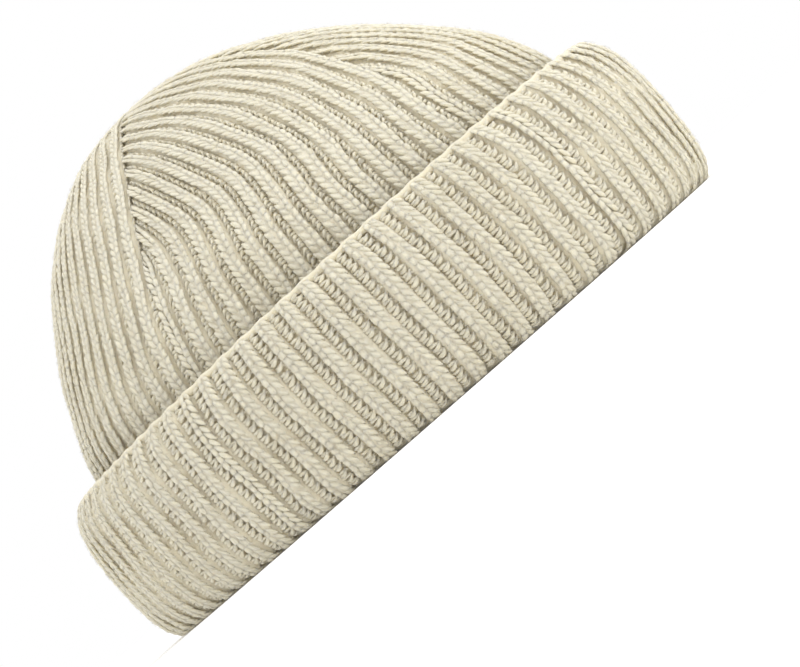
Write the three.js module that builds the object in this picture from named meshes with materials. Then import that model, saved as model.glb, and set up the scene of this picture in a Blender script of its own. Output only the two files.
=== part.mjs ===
// A knitted fisherman beanie standing on its turned-up cuff. Millimetres, +Z up, front towards -Y.
// The crown is a ribbed dome in five gores, and the cuff is the same fabric folded out and up.
import * as THREE from 'three';

// Driving sizes
const cuffWidth = 215;      // side to side, at the cuff's widest
const cuffHeight = 52;      // from the fold to the cast-on edge
const rimTilt = 2.2;        // the cast-on edge is this much higher at the right, and lower at the left
const hatHeight = 130;
const depthRatio = 0.872;   // short axis of the plan over its long axis
const planTurn = -25;       // degrees from +X to the plan's long axis
const wall = 4;             // thickness of the knitted fabric over its ribs
const ribDepth = 2.2;       // from a rib's peak down to the groove beside it
const rimStand = 12;        // room between the crown and the cuff's widest, at the cast-on edge
const foldRoom = 6;         // the same room at the fold
const foldRise = 8;         // height of the fold's inner leg, which carries the crown
const seamGap = 0.3;        // clearance between the crown and the fold's inner leg
const restWidth = 3;        // width of the flat ring that the hat rests on
const tipLean = 11;         // how far the crown's tip lies to the left
const tipBack = 24;         // and how far back
const tipTwist = 0.050;     // turns by which the tip is twisted, in step with its lean
const cuffTwist = 3.8;      // how far the cuff's ribs lean round between the fold and the edge

const goreCount = 5;
const ribsPerGore = 15;
const firstGoreLine = -0.078;  // in turns, counted from the plan's long axis
const ribCount = goreCount * ribsPerGore;

// The crown above the cuff. rise is a share of the height above the cast-on edge, reach of the
// crown's half-width there, lean is of the tip's way to the left and back, and alive is the share
// of ribs not yet decreased.
const crownSections = [
  { rise: 0.09, reach: 0.980, lean: 0.00, alive: 1.00 },
  { rise: 0.21, reach: 0.935, lean: 0.02, alive: 1.00 },
  { rise: 0.33, reach: 0.880, lean: 0.12, alive: 1.00 },
  { rise: 0.45, reach: 0.806, lean: 0.25, alive: 0.97 },
  { rise: 0.56, reach: 0.730, lean: 0.38, alive: 0.90 },
  { rise: 0.68, reach: 0.634, lean: 0.54, alive: 0.80 },
  { rise: 0.80, reach: 0.509, lean: 0.69, alive: 0.67 },
  { rise: 0.86, reach: 0.428, lean: 0.79, alive: 0.57 },
  { rise: 0.92, reach: 0.334, lean: 0.87, alive: 0.46 },
  { rise: 0.97, reach: 0.212, lean: 0.95, alive: 0.30 },
];

// The crown's wall inside the cuff. rise is a share of the way from the seam to the cast-on edge,
// and spread of the way from the crown's width there out to its width at the fold.
const hiddenSections = [
  { rise: 0.0, spread: 1.00 },
  { rise: 0.5, spread: 0.62 },
  { rise: 1.0, spread: 0.00 },
];

// The cuff's outer face. rise is a share of the cuff's height and reach of its half-width.
const cuffSections = [
  { rise: 0.03, reach: 0.963 },
  { rise: 0.11, reach: 0.982 },
  { rise: 0.24, reach: 0.994 },
  { rise: 0.48, reach: 1.000 },
  { rise: 0.72, reach: 0.994 },
  { rise: 0.87, reach: 0.976 },
  { rise: 0.96, reach: 0.948 },
  { rise: 1.00, reach: 0.925 },
];

// The fold's inside, from the leg's foot to the resting ring. drop is a share of foldRise below
// the leg's top, and out is a share of the wall out from the leg's inner face.
const foldSections = [
  { drop: 0.50, out: 0.10 },
  { drop: 0.87, out: 0.65 },
];

const cuffHalf = cuffWidth / 2;
const crownHalf = cuffHalf - wall - rimStand;
const foldHalf = cuffHalf - wall - foldRoom;
const seamHeight = foldRise + seamGap;
const crownHeight = hatHeight - cuffHeight;
const turn = THREE.MathUtils.degToRad(planTurn);

// Arc length along an ellipse of long half-axis 1, so that ribs can be spaced evenly round it
const arcSteps = 720;
const arcLengths = [0];
for (let i = 1; i <= arcSteps; i += 1) {
  const angle = ((i - 0.5) / arcSteps) * Math.PI * 2;
  const speed = Math.hypot(Math.sin(angle), depthRatio * Math.cos(angle));
  arcLengths.push(arcLengths[i - 1] + (speed * Math.PI * 2) / arcSteps);
}

// Angle on the ellipse at a share of the way round it
function angleAt(share) {
  const wanted = (share - Math.floor(share)) * arcLengths[arcSteps];
  let step = 1;
  while (arcLengths[step] < wanted) step += 1;
  const within = (wanted - arcLengths[step - 1]) / (arcLengths[step] - arcLengths[step - 1]);
  return ((step - 1 + within) / arcSteps) * Math.PI * 2;
}

// A point of the plan whose half-width along X is half, with its outward normal in the plan
function planPoint(share, half) {
  const longHalf = half / Math.hypot(Math.cos(turn), depthRatio * Math.sin(turn));
  const angle = angleAt(share);
  const point = new THREE.Vector2(Math.cos(angle), depthRatio * Math.sin(angle)).multiplyScalar(longHalf);
  const normal = new THREE.Vector2(depthRatio * Math.cos(angle), Math.sin(angle)).normalize();
  const centre = new THREE.Vector2();
  return { point: point.rotateAround(centre, turn), normal: normal.rotateAround(centre, turn) };
}

// Where rib coordinate q lies round the hat, in turns, when only some of each gore's ribs are
// left: they run beside the gore's far line, and the others have ended at its near line.
function ribPlace(q, alive) {
  const gore = Math.floor(q / ribsPerGore) % goreCount;
  const fromFarLine = ribsPerGore - (q % ribsPerGore);
  const left = ribsPerGore * alive;
  const share = firstGoreLine + (gore + 1 - Math.min(1, fromFarLine / left)) / goreCount;
  const standing = THREE.MathUtils.clamp(left - fromFarLine, 0, 1);
  return { share, standing };
}

// One loop of points round the hat. slope is the section's outward normal as (out, up).
function ribbedLoop({ half, height, lean = 0, alive = 1, slope, depth = ribDepth, twist = 0, tilt = 0 }) {
  const loop = [];
  for (let column = 0; column < ribCount * 2; column += 1) {
    const { share, standing } = ribPlace(column / 2, alive);
    const { point, normal } = planPoint(share + twist, half);
    const offset = (column % 2) * standing * depth - depth;
    const lift = tilt * (point.x / half);
    loop.push(new THREE.Vector3(
      point.x + normal.x * offset * slope.x - lean * tipLean,
      point.y + normal.y * offset * slope.x + lean * tipBack,
      height + offset * slope.y + lift,
    ));
  }
  return loop;
}

function plainLoop({ half, height, lean = 0, slope, inward = 0, tilt = 0 }) {
  const loop = [];
  for (let column = 0; column < ribCount; column += 1) {
    const { point, normal } = planPoint(firstGoreLine + column / ribCount, half);
    const lift = tilt * (point.x / half);
    loop.push(new THREE.Vector3(
      point.x - normal.x * inward * slope.x - lean * tipLean,
      point.y - normal.y * inward * slope.x + lean * tipBack,
      height - inward * slope.y + lift,
    ));
  }
  return loop;
}

// Collects loops into one closed mesh. Points that fall together are shared, and faces that
// close up where ribs end are left out.
class Skin {
  constructor() {
    this.positions = [];
    this.faces = [];
    this.known = new Map();
  }

  index(point) {
    const key = point.toArray().map((value) => Math.round(value * 1000)).join(' ');
    if (!this.known.has(key)) {
      this.known.set(key, this.positions.length / 3);
      this.positions.push(point.x, point.y, point.z);
    }
    return this.known.get(key);
  }

  face(a, b, c) {
    const corners = [a, b, c].map((point) => this.index(point));
    if (new Set(corners).size === 3) this.faces.push(...corners);
  }

  // Joins two loops, which have as many points as each other, or one has twice as many
  band(first, next) {
    const count = Math.min(first.length, next.length);
    const firstStep = first.length / count;
    const nextStep = next.length / count;
    for (let i = 0; i < count; i += 1) {
      const a = [0, 1, 2].map((k) => first[(i * firstStep + k) % first.length]);
      const b = [0, 1, 2].map((k) => next[(i * nextStep + k) % next.length]);
      if (firstStep === 2) {
        this.face(a[0], a[1], b[0]);
        this.face(a[1], a[2], b[1]);
        this.face(a[1], b[1], b[0]);
      } else if (nextStep === 2) {
        this.face(a[0], b[1], b[0]);
        this.face(a[0], a[1], b[1]);
        this.face(a[1], b[2], b[1]);
      } else {
        this.face(a[0], a[1], b[1]);
        this.face(a[0], b[1], b[0]);
      }
    }
  }

  cap(loop, tip, facingUp) {
    loop.forEach((point, i) => {
      const after = loop[(i + 1) % loop.length];
      if (facingUp) this.face(point, after, tip);
      else this.face(after, point, tip);
    });
  }

  geometry() {
    const geometry = new THREE.BufferGeometry();
    geometry.setAttribute('position', new THREE.Float32BufferAttribute(this.positions, 3));
    geometry.setIndex(this.faces);
    geometry.computeVertexNormals();
    return geometry;
  }
}

function joinLoops(skin, loops) {
  loops.slice(1).forEach((loop, i) => skin.band(loops[i], loop));
}

// Half-width, height and lean of the crown's wall, from the seam up to the last ring
function crownWall() {
  const hidden = hiddenSections.map(({ rise, spread }) => ({
    half: crownHalf + (foldHalf - crownHalf) * spread,
    height: seamHeight + (cuffHeight - seamHeight) * rise,
    lean: 0,
    alive: 1,
  }));
  const shown = crownSections.map(({ rise, reach, lean, alive }) => ({
    half: crownHalf * reach,
    height: cuffHeight + crownHeight * rise,
    lean,
    twist: tipTwist * lean,
    alive,
  }));
  const rows = [...hidden, ...shown];
  rows.forEach((row, i) => {
    const below = rows[Math.max(0, i - 1)];
    const above = rows[i + 1] ?? { half: 0, height: hatHeight };
    row.slope = new THREE.Vector2(above.height - below.height, below.half - above.half).normalize();
  });
  rows[0].slope.set(1, 0);   // the seam is cut level
  return rows;
}

function crownGeometry() {
  const skin = new Skin();
  const rows = crownWall();
  const outer = rows.map((row) => ribbedLoop(row));
  const inner = rows.map((row) => plainLoop({ ...row, inward: wall }));
  const tip = new THREE.Vector3(-tipLean, tipBack, hatHeight);
  const innerTip = new THREE.Vector3(-tipLean, tipBack, hatHeight - wall);
  skin.band(inner[0], outer[0]);
  joinLoops(skin, outer);
  skin.cap(outer.at(-1), tip, true);
  joinLoops(skin, inner.reverse());
  skin.cap(inner[0], innerTip, false);
  return skin.geometry();
}

function cuffGeometry() {
  const skin = new Skin();
  const level = new THREE.Vector2(1, 0);
  const turnsPerMm = 1 / (arcLengths[arcSteps] * cuffHalf);
  const outer = cuffSections.map(({ rise, reach }) => ribbedLoop({
    half: cuffHalf * reach,
    height: cuffHeight * rise,
    slope: level,
    twist: cuffTwist * turnsPerMm * (0.5 - rise),
    tilt: rimTilt * rise,
  }));
  const aboveFold = cuffSections.filter(({ rise }) => cuffHeight * rise > wall);
  const lined = aboveFold.map(({ rise, reach }) => plainLoop({
    half: cuffHalf * reach,
    height: cuffHeight * rise,
    slope: level,
    inward: wall,
    tilt: rimTilt * rise,
  }));
  const legInner = foldHalf - wall;
  const restInner = foldHalf + ribDepth / 2;
  const restOuter = restInner + restWidth;
  const ring = (half, height) => plainLoop({ half, height, slope: level });
  const fold = foldSections.map(({ drop, out }) => ring(legInner + wall * out, foldRise * (1 - drop)));
  const leg = [
    ring(foldHalf + ribDepth, wall),
    ring(foldHalf, (foldRise + wall) / 2),
    ring(foldHalf, foldRise),
    ring(legInner, foldRise),
  ];
  const restLoop = ribbedLoop({
    half: restOuter,
    height: 0,
    slope: level,
    depth: 0,
    twist: cuffTwist * turnsPerMm / 2,
  });
  const loops = [restLoop, ...outer, ...lined.reverse(), ...leg, ...fold, ring(restInner, 0)];
  joinLoops(skin, loops);
  skin.band(loops.at(-1), loops[0]);
  return skin.geometry();
}

const undyedYarn = { color: 0xe9e1cb, roughness: 0.95, metalness: 0 };

function knitted(name, geometry) {
  const mesh = new THREE.Mesh(geometry, new THREE.MeshStandardMaterial(undyedYarn));
  mesh.name = name;
  return mesh;
}

const beanie = new THREE.Group();
beanie.add(knitted('crown', crownGeometry()));
beanie.add(knitted('cuff', cuffGeometry()));

export default beanie;
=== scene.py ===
import math
import bmesh
import bpy
import numpy as np
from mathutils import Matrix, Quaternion, Vector


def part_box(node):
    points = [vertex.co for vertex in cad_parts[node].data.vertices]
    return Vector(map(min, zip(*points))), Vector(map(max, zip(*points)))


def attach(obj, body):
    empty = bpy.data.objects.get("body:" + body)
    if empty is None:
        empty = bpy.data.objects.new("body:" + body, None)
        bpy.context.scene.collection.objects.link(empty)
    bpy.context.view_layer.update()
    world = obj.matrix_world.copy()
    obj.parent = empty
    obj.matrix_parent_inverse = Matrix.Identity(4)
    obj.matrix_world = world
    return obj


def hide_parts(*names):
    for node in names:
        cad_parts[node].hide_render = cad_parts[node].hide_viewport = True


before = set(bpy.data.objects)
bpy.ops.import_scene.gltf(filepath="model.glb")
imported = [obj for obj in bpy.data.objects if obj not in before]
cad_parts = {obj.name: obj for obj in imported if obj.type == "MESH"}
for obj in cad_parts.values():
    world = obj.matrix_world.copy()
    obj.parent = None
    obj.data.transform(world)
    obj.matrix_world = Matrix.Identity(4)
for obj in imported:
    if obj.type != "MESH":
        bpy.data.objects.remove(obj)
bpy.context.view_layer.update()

millimetre = 0.001
crownLow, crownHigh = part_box("crown")
cuffLow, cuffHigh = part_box("cuff")

# the hat's form in millimetres, the same as its solids have
hatForm = {
    "cuffHalf": (cuffHigh.x - cuffLow.x) / 2 / millimetre,
    "hatHeight": crownHigh.z / millimetre,
    "seamHeight": crownLow.z / millimetre,
    "cuffHeight": 52.0,
    "rimTilt": 2.2,
    "depthRatio": 0.872,
    "planTurn": math.radians(-25),
    "wall": 4.0,
    "ribDepth": 2.2,
    "rimStand": 12.0,
    "foldRoom": 6.0,
    "foldRise": 8.0,
    "restWidth": 3.0,
    "tipLean": 11.0,
    "tipBack": 24.0,
    "tipTwist": 0.050,  # in turns, in step with the lean
    "cuffTwist": 3.8,
    "gores": 5,
    "ribsPerGore": 15,
    "firstGoreLine": -0.078,  # in turns from the plan's long axis
}
ribCount = hatForm["gores"] * hatForm["ribsPerGore"]
crownHalf = hatForm["cuffHalf"] - hatForm["wall"] - hatForm["rimStand"]
foldHalf = hatForm["cuffHalf"] - hatForm["wall"] - hatForm["foldRoom"]

# rise from the cast-on edge to the tip, reach of the crown's half-width, lean, ribs still alive
crownRows = [
    (0.09, 0.980, 0.00, 1.00),
    (0.21, 0.935, 0.02, 1.00),
    (0.33, 0.880, 0.12, 1.00),
    (0.45, 0.806, 0.25, 0.97),
    (0.56, 0.730, 0.38, 0.90),
    (0.68, 0.634, 0.54, 0.80),
    (0.80, 0.509, 0.69, 0.67),
    (0.86, 0.428, 0.79, 0.57),
    (0.92, 0.334, 0.87, 0.46),
    (0.97, 0.212, 0.95, 0.30),
    (1.00, 0.000, 1.00, 0.04),
]
# the crown's wall inside the cuff: rise from the seam to the cast-on edge, spread to the fold
hiddenRows = [(0.0, 1.00), (0.5, 0.62), (1.0, 0.00)]
# the cuff's outer face: rise of the cuff's height, reach of its half-width
cuffRows = [
    (0.03, 0.963),
    (0.11, 0.982),
    (0.24, 0.994),
    (0.48, 1.000),
    (0.72, 0.994),
    (0.87, 0.976),
    (0.96, 0.948),
    (1.00, 0.925),
]


def smoothRows(rows, after, perSpan=14):
    # Catmull-Rom through the rows, which leaves the last one towards the row after it
    rows = np.array(rows, float)
    padded = np.vstack([2 * rows[0] - rows[1], rows, after])
    t = np.linspace(0, 1, perSpan, endpoint=False)[:, None]
    parts = []
    for i in range(1, len(rows)):
        a, b, c, d = padded[i - 1:i + 3]
        bend = (2 * a - 5 * b + 4 * c - d) * t ** 2
        twist = (3 * b - a - 3 * c + d) * t ** 3
        parts.append(0.5 * (2 * b + (c - a) * t + bend + twist))
    parts.append(rows[-1:])
    return np.vstack(parts)


def profileFrom(rows, after):
    half, height, lean, alive = smoothRows(rows, after).T
    along = np.concatenate([[0], np.cumsum(np.hypot(np.diff(half), np.diff(height)))])
    halfSlope, heightSlope = np.gradient(half, along), np.gradient(height, along)
    size = np.hypot(halfSlope, heightSlope)
    return {
        "along": along, "half": half, "height": height, "lean": lean, "alive": alive,
        "outward": heightSlope / size, "upward": -halfSlope / size,
    }


def crownProfile():
    seam, rim, top = hatForm["seamHeight"], hatForm["cuffHeight"], hatForm["hatHeight"]
    rows = [(crownHalf + (foldHalf - crownHalf) * spread, seam + (rim - seam) * rise, 0, 1)
            for rise, spread in hiddenRows]
    rows += [(crownHalf * reach, rim + (top - rim) * rise, lean, alive)
             for rise, reach, lean, alive in crownRows]
    before = rows[-2]
    return profileFrom(rows, (-before[0], before[1], 2 - before[2], 0))


def cuffProfile():
    rest = foldHalf + hatForm["ribDepth"] / 2
    rows = [(rest, 0, 0, 1), (rest + hatForm["restWidth"], 0, 0, 1)]
    rows += [(hatForm["cuffHalf"] * reach, hatForm["cuffHeight"] * rise, 0, 1) for rise, reach in cuffRows]
    last, before = np.array(rows[-1]), np.array(rows[-2])
    return profileFrom(rows, 2 * last - before)


# arc length round the plan's ellipse, so that ribs are spaced evenly
arcAngles = np.linspace(0, 2 * math.pi, 2881)
arcSpeed = np.hypot(np.sin(arcAngles), hatForm["depthRatio"] * np.cos(arcAngles))
arcLengths = np.concatenate([[0], np.cumsum((arcSpeed[1:] + arcSpeed[:-1]) / 2 * np.diff(arcAngles))])
planTurn = hatForm["planTurn"]
widthFactor = math.hypot(math.cos(planTurn), hatForm["depthRatio"] * math.sin(planTurn))
roundLength = arcLengths[-1] * hatForm["cuffHalf"] / widthFactor


def planPoint(turns, half):
    angle = np.interp((turns % 1) * arcLengths[-1], arcLengths, arcAngles)
    x, y = np.cos(angle) * half / widthFactor, np.sin(angle) * half / widthFactor * hatForm["depthRatio"]
    nx, ny = hatForm["depthRatio"] * np.cos(angle), np.sin(angle)
    size = np.hypot(nx, ny)
    c, s = math.cos(planTurn), math.sin(planTurn)
    return x * c - y * s, x * s + y * c, (nx * c - ny * s) / size, (nx * s + ny * c) / size


def onHat(profile, ribs, along, depth, isCuff=False):
    # a point at a rib coordinate, a length up the section and a depth off the surface
    read = {k: np.interp(along, profile["along"], profile[k]) for k in profile if k != "along"}
    gore = np.floor(ribs / hatForm["ribsPerGore"])
    fromFarLine = hatForm["ribsPerGore"] * (gore + 1) - ribs
    share = np.minimum(1, fromFarLine / (hatForm["ribsPerGore"] * read["alive"]))
    turns = hatForm["firstGoreLine"] + (gore + 1 - share) / hatForm["gores"]
    turns = turns + hatForm["tipTwist"] * read["lean"]
    rise = read["height"] / hatForm["cuffHeight"]
    if isCuff:
        turns = turns + hatForm["cuffTwist"] / roundLength * (0.5 - rise)
    x, y, nx, ny = planPoint(turns, read["half"])
    z = read["height"] + depth * read["upward"]
    if isCuff:
        z = z + hatForm["rimTilt"] * rise * x / read["half"]
    out = depth * read["outward"]
    x = x + nx * out - hatForm["tipLean"] * read["lean"]
    y = y + ny * out + hatForm["tipBack"] * read["lean"]
    return np.stack([x, y, z], -1)


def ribsLeft(profile, along):
    return hatForm["ribsPerGore"] * np.interp(along, profile["along"], profile["alive"])


crownForm, cuffForm = crownProfile(), cuffProfile()
print("sections laid out, crown", round(crownForm["along"][-1]), "mm, cuff",
      round(cuffForm["along"][-1]), "mm")


# Stitches. Each is a sphere of six sides whose rings are moved along the yarn's path.
# A ring is (across, up, out, half-width across, half-height up, half-thickness out), where across
# is a share of the rib's half-width, up is in rows and out is in millimetres.
stitchShapes = {
    "slantLeg": {
        "tips": ((-0.12, -0.60, -1.20), (-0.78, 1.35, -1.30)),
        "rings": (
            (-0.26, -0.10, -0.58, 0.44, 0.20, 0.45),
            (-0.44, 0.40, -0.40, 0.54, 0.24, 0.42),
            (-0.60, 0.90, -0.58, 0.42, 0.20, 0.45),
        ),
    },
    "straightLeg": {
        "tips": ((0.42, -0.60, -1.20), (0.62, 1.35, -1.30)),
        "rings": (
            (0.48, -0.10, -0.58, 0.38, 0.12, 0.45),
            (0.53, 0.40, -0.40, 0.44, 0.14, 0.42),
            (0.57, 0.90, -0.58, 0.38, 0.12, 0.45),
        ),
    },
    "highLoop": {
        "tips": ((-1.05, -0.40, -2.4), (1.05, 0.35, -2.6)),
        "rings": (
            (-0.60, -0.05, -1.90, 0.14, 0.24, 0.55),
            (-0.22, 0.26, -1.55, 0.10, 0.31, 0.62),
            (0.24, 0.42, -1.60, 0.10, 0.30, 0.60),
            (0.64, 0.42, -2.00, 0.14, 0.22, 0.52),
        ),
    },
    "lowLoop": {
        "tips": ((-1.05, 1.15, -2.6), (1.05, 0.70, -2.4)),
        "rings": (
            (-0.60, 0.98, -2.10, 0.14, 0.20, 0.50),
            (0.05, 0.88, -1.85, 0.12, 0.25, 0.55),
            (0.64, 0.92, -1.90, 0.14, 0.22, 0.50),
        ),
    },
}


def modelStitch(name, shape):
    # modelled once, then read as arrays and laid on the hat
    upward = name.endswith("Leg")
    ringCount = len(shape["rings"]) + 1
    bpy.ops.object.select_all(action="DESELECT")
    turn = (math.radians(90), 0, 0) if upward else (0, math.radians(90), 0)
    bpy.ops.mesh.primitive_uv_sphere_add(segments=6, ring_count=ringCount, radius=1, rotation=turn)
    stitch = bpy.context.object
    bpy.ops.object.transform_apply(location=False, rotation=True, scale=False)
    bpy.ops.object.mode_set(mode="EDIT")
    axis = 1 if upward else 0
    stations = [math.cos(math.pi * (ringCount - i) / ringCount) for i in range(ringCount + 1)]
    for i, station in enumerate(stations):
        edit = bmesh.from_edit_mesh(stitch.data)
        for v in edit.verts:
            v.select = abs(v.co[axis] - station) < 0.01 and v.co.length < 1.01 and not v.tag
            v.tag = v.tag or v.select
        edit.select_flush_mode()
        bmesh.update_edit_mesh(stitch.data)
        centre = [0, 0, 0]
        centre[axis] = station
        if 0 < i < ringCount:
            place, size = shape["rings"][i - 1][:3], shape["rings"][i - 1][3:]
            radius = math.sqrt(1 - station ** 2)
            scale = [s / radius for s in size]
            scale[axis] = 1
            bpy.ops.transform.resize(value=scale, center_override=centre)
            # a leg's rings are sheared along the yarn, so that creases slant with it
            edit = bmesh.from_edit_mesh(stitch.data)
            for v in edit.verts:
                if v.select and upward:
                    v.co.y -= size[1] * (v.co.x - centre[0]) / size[0]
            bmesh.update_edit_mesh(stitch.data)
        else:
            place = shape["tips"][0 if i == 0 else 1]
        # carried off by its place plus ten, so that later rings can't be confused with it
        bpy.ops.transform.translate(value=[p - c + 10 for p, c in zip(place, centre)])
    bpy.ops.mesh.select_all(action="SELECT")
    bpy.ops.transform.translate(value=(-10, -10, -10))
    bpy.ops.mesh.normals_make_consistent(inside=False)
    bpy.ops.object.mode_set(mode="OBJECT")
    mesh = stitch.data
    points = np.zeros(len(mesh.vertices) * 3)
    mesh.vertices.foreach_get("co", points)
    corners = np.zeros(len(mesh.loops), int)
    mesh.loops.foreach_get("vertex_index", corners)
    sizes = np.zeros(len(mesh.polygons), int)
    mesh.polygons.foreach_get("loop_total", sizes)
    uv = np.zeros(len(mesh.loops) * 2)
    mesh.uv_layers[0].data.foreach_get("uv", uv)
    bpy.data.objects.remove(stitch)
    return {"points": points.reshape(-1, 3), "corners": corners, "sizes": sizes, "uv": uv.reshape(-1, 2)}


stitches = {name: modelStitch(name, shape) for name, shape in stitchShapes.items()}
for name, stitch in stitches.items():
    print("stitch", name, len(stitch["points"]), "points, low", stitch["points"].min(0).round(2), "high",
          stitch["points"].max(0).round(2))


def meshFrom(name, batches):
    # one mesh from batches of copied stitches or of lofted faces
    points = np.concatenate([b["points"] for b in batches])
    starts = np.cumsum([0] + [len(b["points"]) for b in batches[:-1]])
    corners = np.concatenate([b["corners"] + s for b, s in zip(batches, starts)])
    sizes = np.concatenate([b["sizes"] for b in batches])
    mesh = bpy.data.meshes.new(name)
    mesh.vertices.add(len(points))
    mesh.vertices.foreach_set("co", (points * millimetre).ravel())
    mesh.loops.add(len(corners))
    mesh.loops.foreach_set("vertex_index", corners.astype(np.int32))
    mesh.polygons.add(len(sizes))
    mesh.polygons.foreach_set("loop_start", np.concatenate([[0], np.cumsum(sizes)[:-1]]).astype(np.int32))
    mesh.polygons.foreach_set("use_smooth", np.ones(len(sizes), bool))
    mesh.update(calc_edges=True)
    layer = mesh.uv_layers.new(name="yarn")
    layer.data.foreach_set("uv", np.concatenate([b["uv"] for b in batches]).ravel())
    tone = mesh.attributes.new("tone", "FLOAT", "POINT")
    tone.data.foreach_set("value", np.concatenate([b["tone"] for b in batches]).astype(np.float32))
    mesh.validate()
    piece = bpy.data.objects.new(name, mesh)
    bpy.context.scene.collection.objects.link(piece)
    return piece


# in rows, how far a stitch laid upside down is moved along its column
turnedShift = 0.6


def layStitches(kind, profile, cells, isCuff=False):
    # copies one stitch onto each cell of the form; turned puts it upside down
    stitch = stitches[kind]
    count = len(cells["rib"])
    local = stitch["points"].copy()
    if cells["turned"]:
        local[:, :2] = -local[:, :2]
        local[:, 1] += turnedShift
    random = np.random.default_rng(cells["seed"])
    swell = 1 + random.normal(0, yarnPlay["swell"], (count, 1))
    sideways = random.normal(0, yarnPlay["sideways"], (count, 1))
    lengthways = random.normal(0, yarnPlay["lengthways"], (count, 1))
    outwards = random.normal(0, yarnPlay["outwards"], (count, 1))
    middle = local.mean(0)
    across = middle[0] + (local[:, 0] - middle[0]) * swell + sideways
    ribs = cells["rib"][:, None] + across * cells["halfShare"] + cells["sway"][:, None]
    along = (cells["row"][:, None] + local[:, 1] + lengthways) * cells["rowPitch"] + cells["start"]
    depth = local[:, 2] * cells["relief"] + outwards - cells["sink"][:, None]
    points = onHat(profile, ribs, np.clip(along, 0, profile["along"][-1]), depth, isCuff)
    points[..., 2] = np.maximum(points[..., 2], 0)
    corners = stitch["corners"] + (np.arange(count) * len(local))[:, None]
    tone = np.repeat(random.random(count), len(local))
    return {
        "points": points.reshape(-1, 3), "corners": corners.ravel(),
        "sizes": np.tile(stitch["sizes"], count), "uv": np.tile(stitch["uv"], (count, 1)), "tone": tone,
    }


# how unevenly the stitches lie
yarnPlay = {
    "swell": 0.06, "sideways": 0.06, "lengthways": 0.08, "outwards": 0.07, "sway": 0.05, "swayRows": 13.0,
}


def waleSway(rib, row, seed):
    # the columns wander a little to the sides, each nearly in step with its neighbours
    phase = seed + 1.3 * np.sin(rib * 0.9) + 2.0 * np.sin(rib * 0.37)
    return yarnPlay["sway"] * np.sin(row / yarnPlay["swayRows"] * 2 * math.pi + phase)


# a rib that ends sinks by the tuck, and tuckLead delays that by a share of a rib
crownKnit = {
    "rowPitch": 2.4, "start": 33.0, "knitShare": 0.62, "tuck": 1.8, "tuckLead": 0.3, "purlRelief": 1.0,
}


def crownCells(gore, purl, seed):
    rows = np.arange(int((crownForm["along"][-1] - crownKnit["start"]) / crownKnit["rowPitch"]))
    offset = 0.0 if purl else 0.5
    rib, row = np.meshgrid(np.arange(hatForm["ribsPerGore"]) + offset, rows)
    rib, row = rib.ravel(), row.ravel().astype(float)
    left = ribsLeft(crownForm, crownKnit["start"] + row * crownKnit["rowPitch"])
    standing = np.clip(left - (hatForm["ribsPerGore"] - rib) + crownKnit["tuckLead"], 0, 1)
    if purl:
        standing[(rib == 0) & (left > 1)] = 1
    keep = standing > 0
    rib, row, standing = rib[keep], row[keep], standing[keep]
    rib = rib + gore * hatForm["ribsPerGore"]
    halfShare = (1 - crownKnit["knitShare"]) / 2 if purl else crownKnit["knitShare"] / 2
    return {
        "rib": rib, "row": row, "halfShare": halfShare, "rowPitch": crownKnit["rowPitch"],
        "start": crownKnit["start"], "sink": (1 - standing) * crownKnit["tuck"], "turned": False,
        "sway": waleSway(rib, row, 5), "seed": seed, "relief": crownKnit["purlRelief"] if purl else 1.0,
    }


def makeCrownGore(gore):
    batches = [
        layStitches("slantLeg", crownForm, crownCells(gore, False, 10 + gore)),
        layStitches("straightLeg", crownForm, crownCells(gore, False, 20 + gore)),
        layStitches("highLoop", crownForm, crownCells(gore, True, 30 + gore)),
        layStitches("lowLoop", crownForm, crownCells(gore, True, 40 + gore)),
    ]
    return meshFrom(f"crown_gore_{gore + 1}", batches)


cuffKnit = {"rowPitch": 2.4, "start": 1.0, "knitShare": 0.52, "purlRelief": 0.84}


def cuffCells(purl, seed):
    rows = np.arange(int((cuffForm["along"][-1] - cuffKnit["start"]) / cuffKnit["rowPitch"]))
    rib, row = np.meshgrid(np.arange(ribCount) + (0.0 if purl else 0.5), rows)
    rib, row = rib.ravel(), row.ravel().astype(float)
    halfShare = (1 - cuffKnit["knitShare"]) / 2 if purl else cuffKnit["knitShare"] / 2
    return {
        "rib": rib, "row": row, "halfShare": halfShare, "rowPitch": cuffKnit["rowPitch"],
        "start": cuffKnit["start"], "sink": np.zeros(len(rib)), "turned": True,
        "sway": waleSway(rib, row, 6), "seed": seed, "relief": cuffKnit["purlRelief"] if purl else 1.0,
    }


def makeCuffWales(name, purl):
    kinds = ("highLoop", "lowLoop") if purl else ("slantLeg", "straightLeg")
    batches = [layStitches(kind, cuffForm, cuffCells(purl, 50 + 10 * purl + i), True)
               for i, kind in enumerate(kinds)]
    return meshFrom(name, batches)


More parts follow.
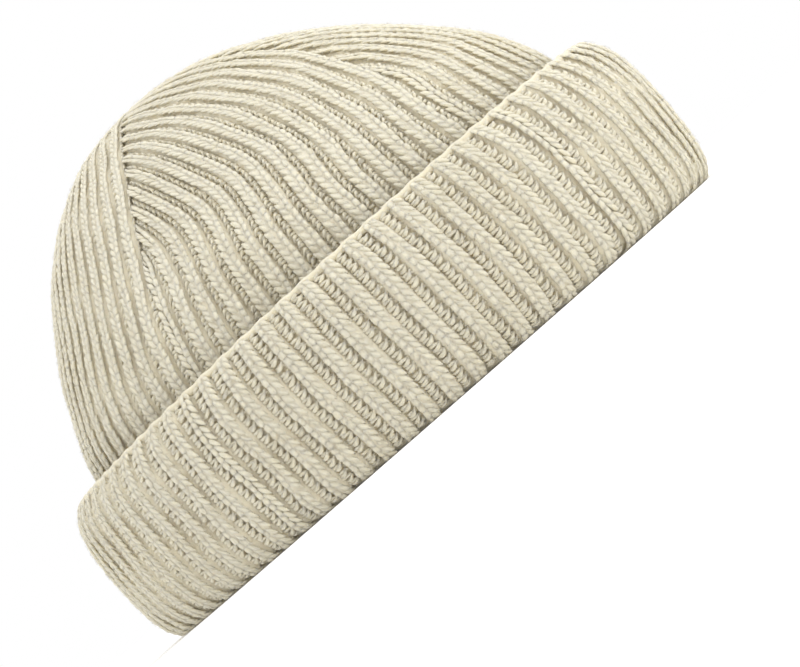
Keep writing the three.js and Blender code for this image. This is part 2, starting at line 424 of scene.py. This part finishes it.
def loft(name, loops):
    # quads between loops of as many points each; a loop of one point closes with triangles
    counts = [len(loop) for loop in loops]
    starts = np.cumsum([0] + counts[:-1])
    columns = max(counts)
    faces, uv = [], []
    for i, (first, after) in enumerate(zip(starts, list(starts[1:]) + [starts[0]])):
        countA, countB = counts[i], counts[(i + 1) % len(counts)]
        if countA == 1 and countB == 1:
            continue
        for j in range(columns):
            k = (j + 1) % columns
            a, b = first + j % countA, first + k % countA
            c, d = after + k % countB, after + j % countB
            if countA == 1:
                faces.append((a, c, d))
                uv += [(j / 4, i), ((j + 1) / 4, i + 1), (j / 4, i + 1)]
            elif countB == 1:
                faces.append((a, b, c))
                uv += [(j / 4, i), ((j + 1) / 4, i), (j / 4, i + 1)]
            else:
                faces.append((a, b, c, d))
                uv += [(j / 4, i), ((j + 1) / 4, i), ((j + 1) / 4, i + 1), (j / 4, i + 1)]
    points = np.concatenate(loops)
    batch = {
        "points": points, "corners": np.array([c for f in faces for c in f]),
        "sizes": np.array([len(f) for f in faces]), "uv": np.array(uv, float),
        "tone": np.full(len(points), 0.5),
    }
    piece = meshFrom(name, [batch])
    edit = bmesh.new()
    edit.from_mesh(piece.data)
    bmesh.ops.remove_doubles(edit, verts=edit.verts, dist=1e-6)
    bmesh.ops.dissolve_degenerate(edit, edges=edit.edges, dist=1e-6)
    edit.to_mesh(piece.data)
    edit.free()
    return piece


# the fabric behind the stitches, whose inside shows from below: depths at rib and groove
backing = {
    "ribTop": -0.36, "grooveTop": -2.5, "ribBack": -3.3, "grooveBack": -4.0, "columns": 6, "step": 3.2,
    "overlap": 0.06, "edge": 0.2,
}
backColumns = np.arange(ribCount * backing["columns"]) / backing["columns"]
fromKnit = np.abs(backColumns % 1 - 0.5) * 2


def backingLoop(profile, along, top, isCuff=False):
    # flat under the knit columns and sunk between them
    low, high = ("grooveTop", "ribTop") if top else ("grooveBack", "ribBack")
    knitShare = (cuffKnit if isCuff else crownKnit)["knitShare"]
    left = ribsLeft(profile, along)
    fromFarLine = hatForm["ribsPerGore"] - backColumns % hatForm["ribsPerGore"]
    wave = np.clip((knitShare + backing["overlap"] - fromKnit) / backing["edge"], 0, 1)
    wave = wave * np.clip(left - fromFarLine, 0, 1)
    depth = backing[low] + (backing[high] - backing[low]) * wave
    return onHat(profile, backColumns, np.full(len(backColumns), along), depth, isCuff)


def makeCrownBacking():
    end = crownForm["along"][-1]
    steps = np.linspace(0, end, int(end / backing["step"]))[:-1]
    outer = [backingLoop(crownForm, along, True) for along in steps]
    inner = [backingLoop(crownForm, along, False) for along in steps[::-1]]
    tip = np.array([[-hatForm["tipLean"], hatForm["tipBack"], hatForm["hatHeight"] + backing["grooveTop"]]])
    innerTip = tip + np.array([[0, 0, backing["grooveBack"] - backing["grooveTop"]]])
    level = hatForm["seamHeight"]
    outer[0][:, 2] = level
    inner[-1][:, 2] = level
    return loft("crown_inside", outer + [tip, innerTip] + inner)


def planLoop(half, height):
    turns = hatForm["firstGoreLine"] + backColumns / ribCount
    x, y, _, _ = planPoint(turns, np.full(len(turns), half))
    return np.stack([x, y, np.full(len(x), height)], -1)


# the cuff's fold below: its curve in shares of the wall and of the fold's rise, the rest in millimetres
cuffFold = {
    "startAfter": 3.0, "endBefore": 1.0, "openSteps": 3, "restOut": 1, "restUp": 0.3,
    "curve": ((0.025, 0.5), (0.3, 0.3), (0.65, 0.13)),
}


def makeCuffBacking():
    end = cuffForm["along"][-1]
    steps = np.linspace(cuffFold["startAfter"], end - cuffFold["endBefore"], int(end / backing["step"]))
    outer = [backingLoop(cuffForm, along, True, True) for along in steps]
    inner = [backingLoop(cuffForm, along, False, True) for along in steps[:cuffFold["openSteps"] - 1:-1]]
    leg = foldHalf - hatForm["wall"]
    rise, wall = hatForm["foldRise"], hatForm["wall"]
    underside = [
        planLoop(foldHalf + hatForm["ribDepth"], wall), planLoop(foldHalf, (rise + wall) / 2),
        planLoop(foldHalf, rise), planLoop(leg, rise),
    ]
    underside += [planLoop(leg + wall * across, rise * up) for across, up in cuffFold["curve"]]
    underside.append(planLoop(foldHalf + cuffFold["restOut"], cuffFold["restUp"]))
    return loft("cuff_inside", outer + inner + underside)


# the cast-on edge: a welt of yarn along the rim, thicker over each knit column
castOn = {"radius": 1.2, "scallop": 0.16, "inset": 1.5, "drop": 0.7, "across": 6, "around": 8}


def makeCastOnEdge():
    ribs = np.arange(ribCount * castOn["across"]) / castOn["across"]
    radius = castOn["radius"] * (1 + castOn["scallop"] * np.cos((ribs - 0.5) * 2 * math.pi))
    end = cuffForm["along"][-1]

    def rimPoint(along, depth):
        return onHat(cuffForm, ribs, np.full(len(ribs), along), depth, True)

    middle = rimPoint(end - castOn["drop"], -castOn["inset"])
    outward = rimPoint(end - castOn["drop"], 1 - castOn["inset"]) - middle
    upward = rimPoint(end, -castOn["inset"]) - rimPoint(end - 1, -castOn["inset"])
    loops = []
    for i in range(castOn["around"]):
        angle = 2 * math.pi * i / castOn["around"]
        loops.append(middle + radius[:, None] * (outward * math.cos(angle) + upward * math.sin(angle)))
    return loft("cast_on_edge", loops)


# stray fibres that lie over the stitches, lengths in millimetres
fuzz = {
    "crown": 8500, "cuff": 5500, "shortest": 1.4, "longest": 3.6, "halfWidth": 0.05, "bow": 0.3, "lift": 0.45,
    "sink": 0.1, "arch": 1.4, "taper": 0.4, "margin": 0.05, "stations": 500, "endGap": 2, "cuffStart": 8.0,
}


def makeFuzz(name, profile, count, start, isCuff):
    # each fibre is a narrow bent strip of two faces
    random = np.random.default_rng(count)
    stations = np.linspace(start, profile["along"][-1] - fuzz["endGap"], fuzz["stations"])
    weights = np.interp(stations, profile["along"], profile["half"])
    along = random.choice(stations, count, p=weights / weights.sum())
    half = np.interp(along, profile["along"], profile["half"])
    left = ribsLeft(profile, along)
    ribWidth = roundLength * half / hatForm["cuffHalf"] / left / hatForm["gores"]
    gore = random.integers(0, hatForm["gores"], count)
    inGore = random.uniform(fuzz["margin"], 1 - fuzz["margin"], count)
    rib = hatForm["ribsPerGore"] * (gore + 1) - left * inGore
    length = random.uniform(fuzz["shortest"], fuzz["longest"], count)
    heading = random.uniform(0, 2 * math.pi, count)
    step = np.array([-1, -1, 0, 0, 1, 1])
    side = np.array([-1, 1, -1, 1, -fuzz["taper"], fuzz["taper"]])
    forwards = step * length[:, None] / 2
    sideways = fuzz["bow"] * length[:, None] * (step ** 2 - 0.5) + side * fuzz["halfWidth"]
    c, s = np.cos(heading)[:, None], np.sin(heading)[:, None]
    ribs = rib[:, None] + (forwards * c - sideways * s) / ribWidth[:, None]
    place = along[:, None] + forwards * s + sideways * c
    rise = random.uniform(-fuzz["sink"], fuzz["lift"], (count, 1))
    depth = rise * (fuzz["arch"] - step ** 2) - fuzz["sink"]
    points = onHat(profile, ribs, np.clip(place, 0, profile["along"][-1]), depth, isCuff)
    faces = np.array([0, 1, 3, 2, 2, 3, 5, 4])
    batch = {
        "points": points.reshape(-1, 3), "corners": (faces + 6 * np.arange(count)[:, None]).ravel(),
        "sizes": np.full(count * 2, 4), "uv": np.tile([[0, 0], [1, 0], [1, 1], [0, 1]], (count * 2, 1)),
        "tone": np.repeat(random.random(count), 6),
    }
    return meshFrom(name, [batch])


yarn = {
    "colour": (0.805, 0.735, 0.560, 1), "deep": (0.730, 0.657, 0.484, 1),
    "rampLow": 0.65, "rampHigh": 1.0,
    "softness": 0.5, "scatter": 0.0025, "scatterTint": (1.0, 0.9, 0.7),
    "sheen": 0.15, "sheenRoughness": 0.5, "shine": 0.15, "roughLow": 0.85, "roughHigh": 1.0,
    "broadScale": 35, "broadDetail": 3, "fibreScale": 1400.0, "fibreDetail": 4, "fibreRoughness": 0.7,
    "fibreTone": 0.8, "stitchTone": 0.25, "bump": 0.9, "bumpDepth": 0.0006,
}


def yarnMaterial(name):
    material = bpy.data.materials.new(name)
    material.use_nodes = True
    nodes, links = material.node_tree.nodes, material.node_tree.links
    shader = nodes["Principled BSDF"]
    shader.inputs["Subsurface Weight"].default_value = yarn["softness"]
    shader.inputs["Subsurface Radius"].default_value = yarn["scatterTint"]
    shader.inputs["Subsurface Scale"].default_value = yarn["scatter"]
    shader.inputs["Sheen Weight"].default_value = yarn["sheen"]
    shader.inputs["Sheen Roughness"].default_value = yarn["sheenRoughness"]
    shader.inputs["Specular IOR Level"].default_value = yarn["shine"]
    place = nodes.new("ShaderNodeTexCoord")
    tone = nodes.new("ShaderNodeAttribute")
    tone.attribute_name = "tone"
    broad = nodes.new("ShaderNodeTexNoise")
    broad.inputs["Scale"].default_value = yarn["broadScale"]
    broad.inputs["Detail"].default_value = yarn["broadDetail"]
    links.new(place.outputs["Object"], broad.inputs["Vector"])
    blend = nodes.new("ShaderNodeMath")
    blend.operation = "MULTIPLY_ADD"
    blend.inputs[1].default_value = yarn["stitchTone"]
    links.new(tone.outputs["Fac"], blend.inputs[0])
    links.new(broad.outputs["Fac"], blend.inputs[2])
    fibre = nodes.new("ShaderNodeTexNoise")
    fibre.inputs["Scale"].default_value = yarn["fibreScale"]
    fibre.inputs["Detail"].default_value = yarn["fibreDetail"]
    fibre.inputs["Roughness"].default_value = yarn["fibreRoughness"]
    links.new(place.outputs["Object"], fibre.inputs["Vector"])
    mottle = nodes.new("ShaderNodeMath")
    mottle.operation = "MULTIPLY_ADD"
    mottle.inputs[1].default_value = yarn["fibreTone"]
    links.new(fibre.outputs["Fac"], mottle.inputs[0])
    links.new(blend.outputs["Value"], mottle.inputs[2])
    ramp = nodes.new("ShaderNodeValToRGB")
    ramp.color_ramp.elements[0].position = yarn["rampLow"]
    ramp.color_ramp.elements[0].color = yarn["deep"]
    ramp.color_ramp.elements[1].position = yarn["rampHigh"]
    ramp.color_ramp.elements[1].color = yarn["colour"]
    links.new(mottle.outputs["Value"], ramp.inputs["Fac"])
    links.new(ramp.outputs["Color"], shader.inputs["Base Color"])
    bump = nodes.new("ShaderNodeBump")
    bump.inputs["Strength"].default_value = yarn["bump"]
    bump.inputs["Distance"].default_value = yarn["bumpDepth"]
    links.new(fibre.outputs["Fac"], bump.inputs["Height"])
    links.new(bump.outputs["Normal"], shader.inputs["Normal"])
    rough = nodes.new("ShaderNodeMapRange")
    rough.inputs["To Min"].default_value = yarn["roughLow"]
    rough.inputs["To Max"].default_value = yarn["roughHigh"]
    links.new(fibre.outputs["Fac"], rough.inputs["Value"])
    links.new(rough.outputs["Result"], shader.inputs["Roughness"])
    return material


# the hat
yarnFinish = yarnMaterial("undyed yarn")
crownPieces = [makeCrownGore(gore) for gore in range(hatForm["gores"])]
crownPieces += [makeCrownBacking(),
                makeFuzz("crown_fuzz", crownForm, fuzz["crown"], crownKnit["start"], False)]
print("crown knitted")
cuffPieces = [makeCuffWales("cuff_knit_wales", False), makeCuffWales("cuff_purl_wales", True),
              makeCuffBacking(), makeCastOnEdge(),
              makeFuzz("cuff_fuzz", cuffForm, fuzz["cuff"], fuzz["cuffStart"], True)]
print("cuff knitted")
triangles = {}
for node, pieces in (("crown", crownPieces), ("cuff", cuffPieces)):
    for piece in pieces:
        piece.data.materials.append(yarnFinish)
        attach(piece, "root")
        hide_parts(node)
        triangles[piece.name] = sum(len(p.vertices) - 2 for p in piece.data.polygons)
print("triangles", triangles, "in all", sum(triangles.values()))

# the stage
stage = {
    "floorSize": 60.0, "floorColour": (0.97, 0.97, 0.97, 1), "floorRoughness": 0.9, "floorGlow": 0.06,
    "worldStrength": 1.0,
}


def makeStage():
    bpy.ops.object.select_all(action="DESELECT")
    bpy.ops.mesh.primitive_plane_add(size=stage["floorSize"])
    floor = bpy.context.object
    floor.name = "floor"
    paper = bpy.data.materials.new("white paper")
    paper.use_nodes = True
    shader = paper.node_tree.nodes["Principled BSDF"]
    shader.inputs["Base Color"].default_value = stage["floorColour"]
    shader.inputs["Roughness"].default_value = stage["floorRoughness"]
    shader.inputs["Emission Color"].default_value = (1, 1, 1, 1)
    shader.inputs["Emission Strength"].default_value = stage["floorGlow"]
    floor.data.materials.append(paper)
    world = bpy.data.worlds.new("studio")
    world.use_nodes = True
    world.node_tree.nodes["Background"].inputs["Color"].default_value = (1, 1, 1, 1)
    world.node_tree.nodes["Background"].inputs["Strength"].default_value = stage["worldStrength"]
    bpy.context.scene.world = world


# both lamps face a point inside the hat
lampAim = (0, 0, 0.06)
lamps = {
    "key": {"place": (0.85, -0.40, 0.95), "size": 1.0, "power": 6.0},
    "top": {"place": (0.05, -0.10, 1.30), "size": 1.2, "power": 4.0},
}


def makeLamps():
    for name, lamp in lamps.items():
        bpy.ops.object.light_add(type="AREA", location=lamp["place"])
        light = bpy.context.object
        light.name = name
        light.data.size = lamp["size"]
        light.data.energy = lamp["power"]
        towards = Vector(lampAim) - Vector(lamp["place"])
        light.rotation_mode = "QUATERNION"
        light.rotation_quaternion = towards.to_track_quat("-Z", "Y")


# the photograph's frame: how the hat lies in it, in its pixels and in millimetres
photoView = {
    "width": 800, "pixelsPerMillimetre": 3.40, "distance": 970.0, "height": 8.0,
    "aim": (5.0, 0.0, 25.1), "roll": -41.2, "sensor": 36.0, "nearClip": 0.01,
}


def makeCamera():
    camera = bpy.data.objects.new("camera", bpy.data.cameras.new("camera"))
    bpy.context.scene.collection.objects.link(camera)
    bpy.context.scene.camera = camera
    aim = Vector(photoView["aim"]) * millimetre
    place = Vector((aim.x, -photoView["distance"] * millimetre, photoView["height"] * millimetre))
    camera.location = place
    camera.rotation_mode = "QUATERNION"
    roll = Quaternion((0, 0, 1), math.radians(photoView["roll"]))
    camera.rotation_quaternion = (aim - place).to_track_quat("-Z", "Y") @ roll
    camera.data.sensor_width = photoView["sensor"]
    pixelFocal = photoView["pixelsPerMillimetre"] * photoView["distance"]
    camera.data.lens = pixelFocal / photoView["width"] * photoView["sensor"]
    camera.data.clip_start = photoView["nearClip"]


makeStage()
makeLamps()
makeCamera()
bpy.context.scene.view_settings.view_transform = "Standard"
bpy.context.scene.view_settings.look = "None"
print("stage, lamps and camera set")
